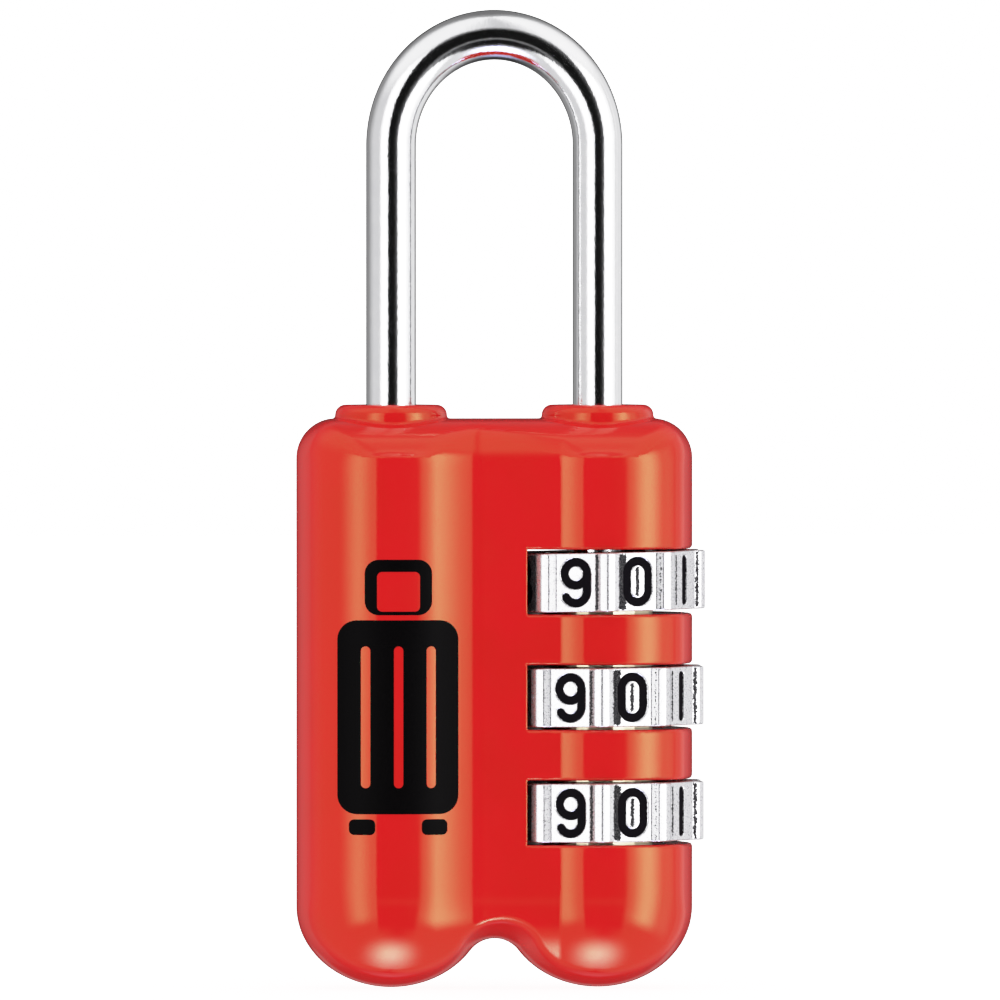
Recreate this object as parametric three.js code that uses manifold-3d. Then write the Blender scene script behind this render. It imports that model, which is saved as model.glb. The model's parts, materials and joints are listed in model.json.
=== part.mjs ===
// A three-dial combination padlock for luggage.
//
// Millimetres, +Z up. The front faces -Y, and +X is to the right as the front is seen.
// Heights are measured up from the underside of the two lobes. The whole group is then lowered
// so that the origin is the underside of the shackle's crown, where a zip puller hangs.

import * as THREE from 'three';
import { mergeVertices } from 'three/addons/utils/BufferGeometryUtils.js';
import Module from 'manifold-3d';

// ---------------------------------------------------------------- driving dimensions

// The body's front outline
const LOBE_X = 6.0;                 // each lobe's axis, left and right of the middle
const LOBE_HALF_WIDTH = 5.5;
const LOBE_DROP = 4.7;              // height of the lobe's elliptical lower end
const ARCH_TANGENT = 4.6;           // where the arch between the lobes meets a lobe, from its axis
const BODY_TOP = 33.0;
const TOP_CORNER_RADIUS = 2.3;

// The body's section, seen from above
const CREST_DEPTH = 5.7;            // half thickness at a lobe's crest
const VALLEY_DEPTH = 4.95;          // half thickness between the lobes
const LOBE_ARC_RADIUS = 6.5;
const CREASE_INSET = 1.05;          // the side band, seen from the front
const CREASE_DEPTH = 3.95;          // half thickness where the side band begins
const EDGE_FLAT_DEPTH = 0.6;        // half thickness of the flat strip along the silhouette

// The bosses that the shackle's legs enter
const BOSS_TOP = 33.8;
const BOSS_RADIUS = 3.05;
const BOSS_FILLET = 0.25;
const BOSS_EDGE = 0.3;

// The shackle
const WIRE_RADIUS = 1.45;
const CROWN_UNDERSIDE = 53.84;
const ARCH_START = 48.84;           // where the straight legs end
const ARCH_RISE = CROWN_UNDERSIDE + WIRE_RADIUS - ARCH_START;
const LONG_LEG_END = 8.0;
const SHORT_LEG_END = 28.8;
const LEG_BORE_RADIUS = 1.5;
const SHORT_BORE_FLOOR = 28.0;
const LIFT_SHOULDER = 29.7;         // where the long bore narrows and stops the top lug
const SPIGOT_RADIUS = 0.8;
const SPIGOT_LENGTH = 1.2;

// The three dials, from the top one down
const DIAL_PITCH = 6.67;
const TOP_DIAL_HEIGHT = 23.59;
const DIAL_HEIGHTS = [0, 1, 2].map((row) => TOP_DIAL_HEIGHT - row * DIAL_PITCH);
const DIAL_THICKNESS = 3.4;
const DIAL_RIB_RADIUS = 6.38;
const DIAL_FLAT_APOTHEM = 6.0;
const DIAL_RIB_HALF_ANGLE = THREE.MathUtils.degToRad(5.8);
const DIAL_BORE_RADIUS = 3.25;
const DIAL_GROOVE_RADIUS = 3.75;
const DIAL_GROOVE_HALF_WIDTH = 0.6;
const DIAL_RELIEF_RADIUS = 3.9;
const DIAL_RELIEF_TOP = 0.35;       // above the dial's middle
const DIGITS = 10;
const SLOT_RADIUS = 6.5;
const SLOT_HEIGHT = 3.85;

// The clutch sleeves, which join the dials to the shackle's lugs
const SLEEVE_RADIUS = 3.2;
const SLEEVE_BORE_RADIUS = 3.3;
const SLEEVE_CHAMBER_RADIUS = 2.45;
const SLEEVE_RING_RADIUS = 1.6;
const SLEEVE_RING_HEIGHT = 1.0;
const SLEEVE_TOP = 1.65;            // above the dial's middle
const SLEEVE_LENGTH = 6.6;
const NOTCH_HALF_WIDTH = 0.7;
const KEY_RADIUS = 3.7;
const KEY_HALF_WIDTH = 0.5;
const KEY_BOTTOM = 0.45;            // above the dial's middle
const KEY_TOP = 1.5;
const KEYWAY_HALF_WIDTH = 0.65;
const KEYWAY_RADIUS = 3.8;

// The lugs on the shackle's long leg
const LUG_RADIUS = 2.35;
const LUG_HALF_WIDTH = 0.55;
const LUG_TOP = -0.65;              // below the dial's middle
const LUG_HEIGHT = 0.85;

// The plugs that close the body
const FIT_GAP = 0.05;
const PLUG_TOP = 1.9;
const PLUG_SPIGOT_LENGTH = 0.8;
const CHANNEL_BACK = -1.75;         // the detent spring's channel, left to right
const CHANNEL_FRONT = -0.3;
const CHANNEL_HALF_DEPTH = 1.5;
const CHANNEL_TOP = 27.2;
const CHANNEL_PLUG_TOP = 4.2;

// The springs and the thrust washer
const LIFT_SPRING = { radius: 1.1, wire: 0.17, turns: 8, bottom: PLUG_TOP, top: LONG_LEG_END };
const WASHER_HEIGHT = 0.3;
const WASHER_INNER_RADIUS = 1.8;
const LOWEST_SLEEVE = DIAL_HEIGHTS[2] + SLEEVE_TOP - SLEEVE_LENGTH;
const WASHER_TOP = LOWEST_SLEEVE - FIT_GAP;
const CLUTCH_SPRING = {
  radius: 2.65, wire: 0.22, turns: 3, bottom: PLUG_TOP, top: WASHER_TOP - WASHER_HEIGHT,
};
const SPRING_SECTION_SIDES = 6;
const SPRING_STEPS_PER_TURN = 12;
const LEAF_THICKNESS = 0.25;
const LEAF_HALF_WIDTH = 1.3;
const LEAF_X = -1.5;
const LEAF_HUMP = 1.3;
const LEAF_HUMP_HALF_LENGTH = 2.2;
const LEAF_STEPS_PER_HUMP = 8;

const ROUND_SIDES = 28;
const SMALL_ROUND_SIDES = 16;
const SLOT_SIDES = 48;
const CURVE_SEGMENTS = 9;
const WIRE_STEPS = 52;
const OVERSHOOT = 1.0;              // how far a cutter reaches past the face it opens
const MERGE_DISTANCE = 1e-5;        // corners closer than this are one corner

// ---------------------------------------------------------------- solids

const wasm = await Module();
wasm.setup();

// A closed geometry as a solid that can be joined and cut
function solid(geometry) {
  const bare = new THREE.BufferGeometry();
  bare.setAttribute('position', geometry.attributes.position);
  bare.setIndex(geometry.index);
  const merged = mergeVertices(bare, MERGE_DISTANCE);
  const corners = merged.index.array;
  const triangles = [];
  for (let i = 0; i < corners.length; i += 3) {
    const [a, b, c] = corners.slice(i, i + 3);
    if (a !== b && b !== c && c !== a) triangles.push(a, b, c);
  }
  return new wasm.Manifold(new wasm.Mesh({
    numProp: 3,
    vertProperties: new Float32Array(merged.attributes.position.array),
    triVerts: new Uint32Array(triangles),
  }));
}

function geometryOf(body) {
  const mesh = body.getMesh();
  const geometry = new THREE.BufferGeometry();
  geometry.setAttribute('position', new THREE.BufferAttribute(mesh.vertProperties, 3));
  geometry.setIndex(new THREE.BufferAttribute(mesh.triVerts, 1));
  geometry.computeVertexNormals();
  return geometry;
}

// An upright cylinder between two heights
function cylinder(x, radius, bottom, top, sides = ROUND_SIDES) {
  const geometry = new THREE.CylinderGeometry(radius, radius, top - bottom, sides);
  geometry.rotateX(Math.PI / 2);
  geometry.translate(x, 0, (bottom + top) / 2);
  return solid(geometry);
}

// A box from its lowest and highest corners
function block(low, high) {
  const size = high.map((value, i) => value - low[i]);
  const middle = high.map((value, i) => (value + low[i]) / 2);
  return solid(new THREE.BoxGeometry(...size).translate(...middle));
}

// An outline turned about an upright axis: points are [radius, height]
function turned(x, outline, sides = ROUND_SIDES) {
  const points = outline.map(([radius, height]) => new THREE.Vector2(radius, height));
  const geometry = new THREE.LatheGeometry(points, sides);
  geometry.rotateX(Math.PI / 2);
  geometry.translate(x, 0, 0);
  return solid(geometry);
}

// An outline seen from above, raised between two heights
function raised(shape, bottom, top) {
  const geometry = new THREE.ExtrudeGeometry(shape, {
    depth: top - bottom, bevelEnabled: false, curveSegments: CURVE_SEGMENTS,
  });
  geometry.translate(0, 0, bottom);
  return solid(geometry);
}

// ---------------------------------------------------------------- body

// The front outline: two lobes joined by an arch below, rounded corners above
function frontOutline() {
  // the arch touches each lobe's ellipse, so its radius follows from the place where they meet
  const touchHeight = LOBE_DROP * (1 - Math.sqrt(1 - (ARCH_TANGENT / LOBE_HALF_WIDTH) ** 2));
  const normal = new THREE.Vector2(
    ARCH_TANGENT / LOBE_HALF_WIDTH ** 2, (touchHeight - LOBE_DROP) / LOBE_DROP ** 2,
  ).normalize();
  const archRadius = (LOBE_X - ARCH_TANGENT) / normal.x;
  const archHeight = touchHeight + archRadius * normal.y;
  const archStart = Math.atan2(-normal.y, normal.x);
  const touchTurn = Math.asin(ARCH_TANGENT / LOBE_HALF_WIDTH);
  const cornerX = LOBE_X + LOBE_HALF_WIDTH - TOP_CORNER_RADIUS;
  const cornerHeight = BODY_TOP - TOP_CORNER_RADIUS;

  const outline = new THREE.Shape();
  outline.moveTo(LOBE_X + LOBE_HALF_WIDTH, LOBE_DROP);
  outline.absarc(cornerX, cornerHeight, TOP_CORNER_RADIUS, 0, Math.PI / 2, false);
  outline.absarc(-cornerX, cornerHeight, TOP_CORNER_RADIUS, Math.PI / 2, Math.PI, false);
  outline.absellipse(-LOBE_X, LOBE_DROP, LOBE_HALF_WIDTH, LOBE_DROP,
    Math.PI, Math.PI * 1.5 + touchTurn, false, 0);
  outline.absarc(0, archHeight, archRadius, Math.PI - archStart, archStart, true);
  outline.absellipse(LOBE_X, LOBE_DROP, LOBE_HALF_WIDTH, LOBE_DROP,
    Math.PI * 1.5 - touchTurn, Math.PI * 2, false, 0);
  return outline;
}

// The section from above: each lobe's front and back bulge, with a shallow valley between them
function sectionOutline() {
  const arcCentre = CREST_DEPTH - LOBE_ARC_RADIUS;
  const valleyReach = Math.sqrt(LOBE_ARC_RADIUS ** 2 - (VALLEY_DEPTH - arcCentre) ** 2);
  const valleyTurn = Math.asin(valleyReach / LOBE_ARC_RADIUS);
  const sideTurn = Math.PI / 2 - Math.asin(-arcCentre / LOBE_ARC_RADIUS);
  const right = Math.PI / 2;

  const outline = new THREE.Shape();
  outline.absarc(LOBE_X, arcCentre, LOBE_ARC_RADIUS, right - sideTurn, right + valleyTurn, false);
  outline.absarc(-LOBE_X, arcCentre, LOBE_ARC_RADIUS, right - valleyTurn, right + sideTurn, false);
  outline.absarc(-LOBE_X, -arcCentre, LOBE_ARC_RADIUS, -right - sideTurn, -right + valleyTurn, false);
  outline.absarc(LOBE_X, -arcCentre, LOBE_ARC_RADIUS, -right - valleyTurn, -right + sideTurn, false);
  return outline;
}

// The front outline through the thickness, narrowing to the front and back for the side band
function frontBlank() {
  const slope = CREASE_INSET / (CREASE_DEPTH - EDGE_FLAT_DEPTH);
  const reach = CREST_DEPTH + OVERSHOOT - EDGE_FLAT_DEPTH;
  const narrowing = slope * reach;
  const geometry = new THREE.ExtrudeGeometry(frontOutline(), {
    depth: 2 * EDGE_FLAT_DEPTH,
    bevelEnabled: true,
    bevelSegments: 1,
    bevelThickness: reach,
    bevelSize: narrowing,
    bevelOffset: -narrowing,
    curveSegments: CURVE_SEGMENTS,
  });
  geometry.translate(0, 0, -EDGE_FLAT_DEPTH);
  geometry.rotateX(Math.PI / 2);
  return solid(geometry);
}

function boss(x) {
  const outline = [
    [0, BODY_TOP - OVERSHOOT],
    [BOSS_RADIUS + BOSS_FILLET, BODY_TOP - OVERSHOOT],
    [BOSS_RADIUS + BOSS_FILLET, BODY_TOP],
    [BOSS_RADIUS, BODY_TOP + BOSS_FILLET],
    [BOSS_RADIUS, BOSS_TOP - BOSS_EDGE],
    [BOSS_RADIUS - BOSS_EDGE, BOSS_TOP],
    [0, BOSS_TOP],
  ];
  return turned(x, outline);
}

// The whole body before anything is bored out of it
function bodyBlank() {
  return raised(sectionOutline(), -OVERSHOOT, BODY_TOP)
    .intersect(frontBlank())
    .add(boss(-LOBE_X))
    .add(boss(LOBE_X));
}

function bodyCasting(blank) {
  let casting = blank
    .subtract(cylinder(LOBE_X, SLEEVE_BORE_RADIUS, -OVERSHOOT, LIFT_SHOULDER))
    .subtract(cylinder(LOBE_X, LEG_BORE_RADIUS, LIFT_SHOULDER - OVERSHOOT, BOSS_TOP + OVERSHOOT))
    .subtract(cylinder(-LOBE_X, LEG_BORE_RADIUS, SHORT_BORE_FLOOR, BOSS_TOP + OVERSHOOT))
    .subtract(block(
      [LOBE_X, -KEYWAY_HALF_WIDTH, -OVERSHOOT],
      [LOBE_X + KEYWAY_RADIUS, KEYWAY_HALF_WIDTH, DIAL_HEIGHTS[0] + SLOT_HEIGHT / 2],
    ))
    .subtract(block(
      [CHANNEL_BACK, -CHANNEL_HALF_DEPTH, -OVERSHOOT],
      [CHANNEL_FRONT, CHANNEL_HALF_DEPTH, CHANNEL_TOP],
    ));
  for (const height of DIAL_HEIGHTS) {
    casting = casting.subtract(
      cylinder(LOBE_X, SLOT_RADIUS, height - SLOT_HEIGHT / 2, height + SLOT_HEIGHT / 2, SLOT_SIDES),
    );
  }
  return casting;
}

// The plug under the long bore carries on the lobe's round lower end
function bottomPlug(blank) {
  const round = cylinder(LOBE_X, SLEEVE_BORE_RADIUS - FIT_GAP, -OVERSHOOT, PLUG_TOP);
  const key = block(
    [LOBE_X, -KEYWAY_HALF_WIDTH + FIT_GAP, -OVERSHOOT],
    [LOBE_X + KEYWAY_RADIUS - FIT_GAP, KEYWAY_HALF_WIDTH - FIT_GAP, PLUG_TOP],
  );
  const spigot = cylinder(
    LOBE_X, SPIGOT_RADIUS, PLUG_TOP - OVERSHOOT, PLUG_TOP + PLUG_SPIGOT_LENGTH, SMALL_ROUND_SIDES,
  );
  return round.add(key).intersect(blank).add(spigot);
}

// The plug in the arch closes the detent spring's channel
function channelPlug(blank) {
  return block(
    [CHANNEL_BACK + FIT_GAP, -CHANNEL_HALF_DEPTH + FIT_GAP, -OVERSHOOT],
    [CHANNEL_FRONT - FIT_GAP, CHANNEL_HALF_DEPTH - FIT_GAP, CHANNEL_PLUG_TOP],
  ).intersect(blank);
}

// ---------------------------------------------------------------- shackle

// The wire's centreline: up the long leg, over an elliptical arch and down the short leg
class ShackleLine extends THREE.Curve {
  getPoint(t) {
    const longLeg = ARCH_START - LONG_LEG_END;
    const shortLeg = ARCH_START - SHORT_LEG_END;
    const arch = Math.PI * (LOBE_X + ARCH_RISE) / 2;
    const along = t * (longLeg + arch + shortLeg);
    if (along < longLeg) return new THREE.Vector3(LOBE_X, 0, LONG_LEG_END + along);
    if (along > longLeg + arch) {
      return new THREE.Vector3(-LOBE_X, 0, ARCH_START - (along - longLeg - arch));
    }
    const turn = (along - longLeg) / arch * Math.PI;
    return new THREE.Vector3(LOBE_X * Math.cos(turn), 0, ARCH_START + ARCH_RISE * Math.sin(turn));
  }
}

function shackle() {
  const section = new THREE.Shape().absarc(0, 0, WIRE_RADIUS, 0, Math.PI * 2, false);
  const wire = solid(new THREE.ExtrudeGeometry(section, {
    extrudePath: new ShackleLine(), steps: WIRE_STEPS, curveSegments: CURVE_SEGMENTS, bevelEnabled: false,
  }));
  let piece = wire.add(cylinder(
    LOBE_X, SPIGOT_RADIUS, LONG_LEG_END - SPIGOT_LENGTH, LONG_LEG_END + OVERSHOOT, SMALL_ROUND_SIDES,
  ));
  for (const height of DIAL_HEIGHTS) {
    piece = piece.add(block(
      [LOBE_X - LUG_RADIUS, -LUG_HALF_WIDTH, height + LUG_TOP - LUG_HEIGHT],
      [LOBE_X, LUG_HALF_WIDTH, height + LUG_TOP],
    ));
  }
  return piece;
}

// ---------------------------------------------------------------- dials and clutch

// A point at an angle from +X about the dials' axis
function polar(radius, angle) {
  return new THREE.Vector2(LOBE_X + radius * Math.cos(angle), radius * Math.sin(angle));
}

// Ten raised ribs with a flat for a digit between each pair. A flat's middle faces +X.
function dialOutline() {
  const step = Math.PI * 2 / DIGITS;
  const flatEnd = DIAL_FLAT_APOTHEM / Math.cos(step / 2 - DIAL_RIB_HALF_ANGLE);
  const points = [];
  for (let digit = 0; digit < DIGITS; digit += 1) {
    const rib = (digit + 0.5) * step;
    points.push(polar(flatEnd, rib - DIAL_RIB_HALF_ANGLE));
    points.push(polar(DIAL_RIB_RADIUS, rib - DIAL_RIB_HALF_ANGLE));
    points.push(polar(DIAL_RIB_RADIUS, rib + DIAL_RIB_HALF_ANGLE));
    points.push(polar(flatEnd, rib + DIAL_RIB_HALF_ANGLE));
  }
  return new THREE.Shape(points);
}

// The bore's outline: one groove for the sleeve's key at each digit
function dialBoreOutline() {
  const step = Math.PI * 2 / DIGITS;
  const innerTurn = Math.asin(DIAL_GROOVE_HALF_WIDTH / DIAL_BORE_RADIUS);
  const outerTurn = Math.asin(DIAL_GROOVE_HALF_WIDTH / DIAL_GROOVE_RADIUS);
  const points = [];
  for (let digit = 0; digit < DIGITS; digit += 1) {
    const groove = digit * step;
    points.push(polar(DIAL_BORE_RADIUS, groove - innerTurn));
    points.push(polar(DIAL_GROOVE_RADIUS, groove - outerTurn));
    points.push(polar(DIAL_GROOVE_RADIUS, groove + outerTurn));
    points.push(polar(DIAL_BORE_RADIUS, groove + innerTurn));
    points.push(polar(DIAL_BORE_RADIUS, groove + step / 2));
  }
  return new THREE.Path(points);
}

function dial(height) {
  const outline = dialOutline();
  outline.holes.push(dialBoreOutline());
  const bottom = height - DIAL_THICKNESS / 2;
  const relief = cylinder(LOBE_X, DIAL_RELIEF_RADIUS, bottom - OVERSHOOT, height + DIAL_RELIEF_TOP);
  return raised(outline, bottom, height + DIAL_THICKNESS / 2).subtract(relief);
}

// A sleeve: a chamber that a lug turns in, under a ring whose notch lets the lug pass
function clutchSleeve(height) {
  const top = height + SLEEVE_TOP;
  const bottom = top - SLEEVE_LENGTH;
  const ringBottom = top - SLEEVE_RING_HEIGHT;
  const tube = turned(LOBE_X, [
    [SLEEVE_CHAMBER_RADIUS, bottom],
    [SLEEVE_RADIUS, bottom],
    [SLEEVE_RADIUS, top],
    [SLEEVE_RING_RADIUS, top],
    [SLEEVE_RING_RADIUS, ringBottom],
    [SLEEVE_CHAMBER_RADIUS, ringBottom],
    [SLEEVE_CHAMBER_RADIUS, bottom],
  ]);
  const notch = block(
    [LOBE_X - SLEEVE_CHAMBER_RADIUS, -NOTCH_HALF_WIDTH, ringBottom - OVERSHOOT],
    [LOBE_X, NOTCH_HALF_WIDTH, top + OVERSHOOT],
  );
  const key = block(
    [LOBE_X + SLEEVE_CHAMBER_RADIUS + FIT_GAP, -KEY_HALF_WIDTH, height + KEY_BOTTOM],
    [LOBE_X + KEY_RADIUS, KEY_HALF_WIDTH, height + KEY_TOP],
  );
  return tube.subtract(notch).add(key);
}

// ---------------------------------------------------------------- springs and washer

// A coil spring between two heights, with half a wire and a small gap left at each end
class CoilLine extends THREE.Curve {
  constructor(spring) {
    super();
    this.spring = spring;
  }

  getPoint(t) {
    const { radius, wire, turns, bottom, top } = this.spring;
    const low = bottom + wire + FIT_GAP;
    const rise = top - bottom - 2 * (wire + FIT_GAP);
    const turn = t * turns * Math.PI * 2;
    return new THREE.Vector3(
      LOBE_X + radius * Math.cos(turn), radius * Math.sin(turn), low + t * rise,
    );
  }
}

function coilSpring(spring) {
  const section = new THREE.Shape();
  for (let side = 0; side < SPRING_SECTION_SIDES; side += 1) {
    const angle = side / SPRING_SECTION_SIDES * Math.PI * 2;
    const corner = [spring.wire * Math.cos(angle), spring.wire * Math.sin(angle)];
    if (side === 0) section.moveTo(...corner);
    else section.lineTo(...corner);
  }
  return solid(new THREE.ExtrudeGeometry(section, {
    extrudePath: new CoilLine(spring),
    steps: spring.turns * SPRING_STEPS_PER_TURN,
    bevelEnabled: false,
  }));
}

function thrustWasher() {
  const bottom = WASHER_TOP - WASHER_HEIGHT;
  return turned(LOBE_X, [
    [WASHER_INNER_RADIUS, bottom],
    [SLEEVE_RADIUS, bottom],
    [SLEEVE_RADIUS, WASHER_TOP],
    [WASHER_INNER_RADIUS, WASHER_TOP],
    [WASHER_INNER_RADIUS, bottom],
  ]);
}

// A strip with one hump for each dial. A hump sits on the flat between two ribs.
function detentSpring() {
  const bottom = CHANNEL_PLUG_TOP + FIT_GAP;
  const top = CHANNEL_TOP - FIT_GAP;
  const line = [[LEAF_X, bottom]];
  for (const height of [...DIAL_HEIGHTS].reverse()) {
    for (let step = 0; step <= LEAF_STEPS_PER_HUMP; step += 1) {
      const along = 2 * step / LEAF_STEPS_PER_HUMP - 1;
      const rise = LEAF_HUMP * Math.cos(along * Math.PI / 2) ** 2;
      line.push([LEAF_X + rise, height + along * LEAF_HUMP_HALF_LENGTH]);
    }
  }
  line.push([LEAF_X, top]);
  const back = line.map(([x, height]) => new THREE.Vector2(x - LEAF_THICKNESS / 2, height));
  const face = line.map(([x, height]) => new THREE.Vector2(x + LEAF_THICKNESS / 2, height));
  const geometry = new THREE.ExtrudeGeometry(new THREE.Shape([...face, ...back.reverse()]), {
    depth: 2 * LEAF_HALF_WIDTH, bevelEnabled: false,
  });
  geometry.translate(0, 0, -LEAF_HALF_WIDTH);
  geometry.rotateX(Math.PI / 2);
  return solid(geometry);
}

// ---------------------------------------------------------------- assembly

const padlock = new THREE.Group();
padlock.position.z = -CROWN_UNDERSIDE;

const finishes = {
  enamel: { color: 0xd92224, roughness: 0.18, metalness: 0.0 },
  steel: { color: 0xc9c9cc, roughness: 0.2, metalness: 1.0 },
  chromed: { color: 0xdcdcde, roughness: 0.25, metalness: 1.0 },
  brass: { color: 0xc8a050, roughness: 0.4, metalness: 1.0 },
  spring: { color: 0x8f9296, roughness: 0.35, metalness: 1.0 },
};

function addPiece(name, piece, finish) {
  const mesh = new THREE.Mesh(geometryOf(piece), new THREE.MeshStandardMaterial(finishes[finish]));
  mesh.name = name;
  padlock.add(mesh);
}

const blank = bodyBlank();
addPiece('body_casting', bodyCasting(blank), 'enamel');
addPiece('bottom_plug', bottomPlug(blank), 'enamel');
addPiece('channel_plug', channelPlug(blank), 'enamel');
addPiece('shackle', shackle(), 'steel');
DIAL_HEIGHTS.forEach((height, row) => {
  addPiece(`dial_${row + 1}`, dial(height), 'chromed');
  addPiece(`clutch_sleeve_${row + 1}`, clutchSleeve(height), 'brass');
});
addPiece('thrust_washer', thrustWasher(), 'steel');
addPiece('clutch_spring', coilSpring(CLUTCH_SPRING), 'spring');
addPiece('lift_spring', coilSpring(LIFT_SPRING), 'spring');
addPiece('detent_spring', detentSpring(), 'spring');

export default padlock;
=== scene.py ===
import json
import math

import bmesh
import bpy
import numpy as np
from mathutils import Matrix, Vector


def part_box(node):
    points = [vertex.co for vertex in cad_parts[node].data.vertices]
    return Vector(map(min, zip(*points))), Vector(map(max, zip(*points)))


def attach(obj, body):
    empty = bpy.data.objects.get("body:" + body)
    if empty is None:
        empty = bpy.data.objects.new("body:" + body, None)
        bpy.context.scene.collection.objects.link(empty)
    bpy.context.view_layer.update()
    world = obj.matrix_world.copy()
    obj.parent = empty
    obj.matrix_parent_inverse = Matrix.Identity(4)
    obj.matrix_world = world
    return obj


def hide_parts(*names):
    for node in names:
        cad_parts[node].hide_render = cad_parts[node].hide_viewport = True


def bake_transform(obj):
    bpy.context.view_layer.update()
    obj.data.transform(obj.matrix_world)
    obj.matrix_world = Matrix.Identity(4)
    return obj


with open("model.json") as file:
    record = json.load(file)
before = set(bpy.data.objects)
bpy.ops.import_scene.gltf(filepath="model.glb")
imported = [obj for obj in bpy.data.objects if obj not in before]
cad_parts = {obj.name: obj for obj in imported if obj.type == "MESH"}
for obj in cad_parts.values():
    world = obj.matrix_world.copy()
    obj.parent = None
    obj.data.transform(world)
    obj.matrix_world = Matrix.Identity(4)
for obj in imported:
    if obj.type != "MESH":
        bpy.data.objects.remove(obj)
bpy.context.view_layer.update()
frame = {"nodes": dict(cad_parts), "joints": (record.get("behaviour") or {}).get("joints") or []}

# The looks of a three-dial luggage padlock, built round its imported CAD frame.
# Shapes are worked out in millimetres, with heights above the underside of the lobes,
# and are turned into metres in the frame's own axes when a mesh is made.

MM = 0.001


# ---------------------------------------------------------------- sizes from the frame

def box_mm(node):
    """A CAD node's lowest and highest corners in millimetres, heights from the lobes' underside."""
    low, high = (np.array(corner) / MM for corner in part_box(node))
    lift = np.array([0, 0, BASE])
    return low - lift, high - lift


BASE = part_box("body_casting")[0].z / MM
HALF_WIDTH, CREST_DEPTH, BOSS_TOP = box_mm("body_casting")[1]
JOINTS = {joint["name"]: joint for joint in frame["joints"]}
LOBE_X = JOINTS["dial_1_spin"]["pos_m"][0] / MM
DIAL_HEIGHTS = [JOINTS[f"dial_{row}_spin"]["pos_m"][2] / MM - BASE for row in (1, 2, 3)]
DIAL_THICKNESS = float(np.diff([corner[2] for corner in box_mm("dial_1")])[0])
CAD_RIB_HALF_ANGLE = 5.8            # degrees; a CAD rib is flat between its two corners
DIAL_RIB_RADIUS = box_mm("dial_1")[1][1] / math.cos(math.radians(CAD_RIB_HALF_ANGLE))
WIRE_RADIUS = box_mm("shackle")[1][1]
SHACKLE_LOW, SHACKLE_HIGH = (corner[2] for corner in box_mm("shackle"))

# The body
LOBE_HALF_WIDTH = HALF_WIDTH - LOBE_X
LOBE_DROP = 4.7                     # height of the rounded lower end of a lobe
BOSS_HEIGHT = 0.8
BODY_TOP = BOSS_TOP - BOSS_HEIGHT
TOP_CORNER_RADIUS = 2.3
ARCH_TOUCH = 4.6                    # where the arch meets a lobe, from the lobe's axis
SHELF_EDGE = 2.38                   # the dial side's arc ends here, on the inner side of its axis
SHELF_SLOPE = 0.135                 # then a nearly flat shelf runs to the groove beside the other lobe
SHELF_CURVE = 0.003
SHELF_SOFTNESS = 0.03               # softness is how far the blend of two surfaces reaches
FLANK_START = 2.4                   # the other lobe's arc ends here, and a flank runs to the groove
FLANK_CURVE = 0.04
GROOVE_SOFTNESS = 0.12
LOBE_ARC_RADIUS = 6.5               # seen from above, on the front and the back
CREASE_DEPTH = 3.95                 # the crease between the front and the band round the side
SIDE_CREASE_INSET = 0.96
SIDE_BAND_POWER = 1.8               # how the side band bulges from the silhouette to the crease
TOP_CREASE_INSET = 0.65
TOP_BAND_POWER = 4.0
TOP_TURN = 0.25                     # how gently the side band turns into the top band
BOTTOM_ROLL_HEIGHT = 6.0            # below this the front rolls under
BOTTOM_ROLL = 0.082
TOP_ROLL_HEIGHT = 30.1              # above this the front rolls back
TOP_ROLL = 0.15
BOSS_RADIUS = 3.25
BOSS_EDGE = 0.6
BOSS_FILLET = 0.2
CREASE_SOFTNESS = 0.3
FRONT_STEEPNESS = 0.85              # turns depth over the sloping front into distance, roughly
SLOT_SOFTNESS = 0.22
BORE_SOFTNESS = 0.12
SLOT_RADIUS = 6.5
SLOT_HEIGHT = 3.74
SLEEVE_BORE_RADIUS = 3.3
LEG_BORE_RADIUS = 1.5
LIFT_SHOULDER = 29.7                # stops the shackle's top lug
SHORT_BORE_FLOOR = 28.0
BORE_OVERLAP = 1.0                  # how far the leg's bore runs into the sleeves' bore
PLUG_TOP = 1.9
SLEEVE_BORE_MIDDLE = (PLUG_TOP + LIFT_SHOULDER) / 2
SLEEVE_BORE_HALF = (LIFT_SHOULDER - PLUG_TOP) / 2
KEYWAY = ((6.0, -0.65, PLUG_TOP), (9.8, 0.65, 25.5))    # lowest and highest corners
CHANNEL = ((-1.75, -1.5, 4.2), (-0.3, 1.5, 27.2))
BODY_STEP = 0.16                    # the size of a cell of the body's mesh

# The dials
DIGITS = 10
SECTOR = 360 / DIGITS               # degrees of one flat and one rib
FLAT_APOTHEM = 5.85                 # from the axis to the middle of a digit's flat
RIB_HALF_WIDTH = 0.42
RIB_END_GAP = 0.06                  # how far a rib stops short of the dial's faces
RIB_CORNER = 0.12
RIB_WALL = 0.36                     # how far the slope beside a rib reaches
RIB_FALL = 0.3                      # slope of a rib's two sides, down from a ridge along its middle
RIDGE_SOFTNESS = 0.06
FIRST_FLAT = SECTOR / 2             # degrees from the front to the middle of digit 0
DIAL_TILT = (0.017, 0.009, 0.008)   # how steeply each dial leans in its slot, up towards +X
DIAL_PLAY = (2.0, -1.2, -1.0)       # degrees that each dial has turned past its detent
DIGIT_HALF_WIDTH = 0.67
DIGIT_HALF_HEIGHT = 1.19
STROKE = 0.25                       # half the width of a digit's line
ENGRAVING = 0.11
RESIDUE_MIDDLE = 0.96               # where paint is left beside a rib, from a flat's middle
RESIDUE_HALF_WIDTH = 0.24
RESIDUE_AND_SHADE_EDGE = 1.36                 # and beside the other rib, where digit 8's flat also gets a wide band of painted shade
WIPED_AWAY = 0.16                   # how much narrower the paint is on a flat that was wiped
DIAL_EDGE = 0.1
DIAL_FACE_RADIUS = 5.4
DIAL_BORE_RADIUS = 3.25
DIAL_GROOVE_RADIUS = 3.75
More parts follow.
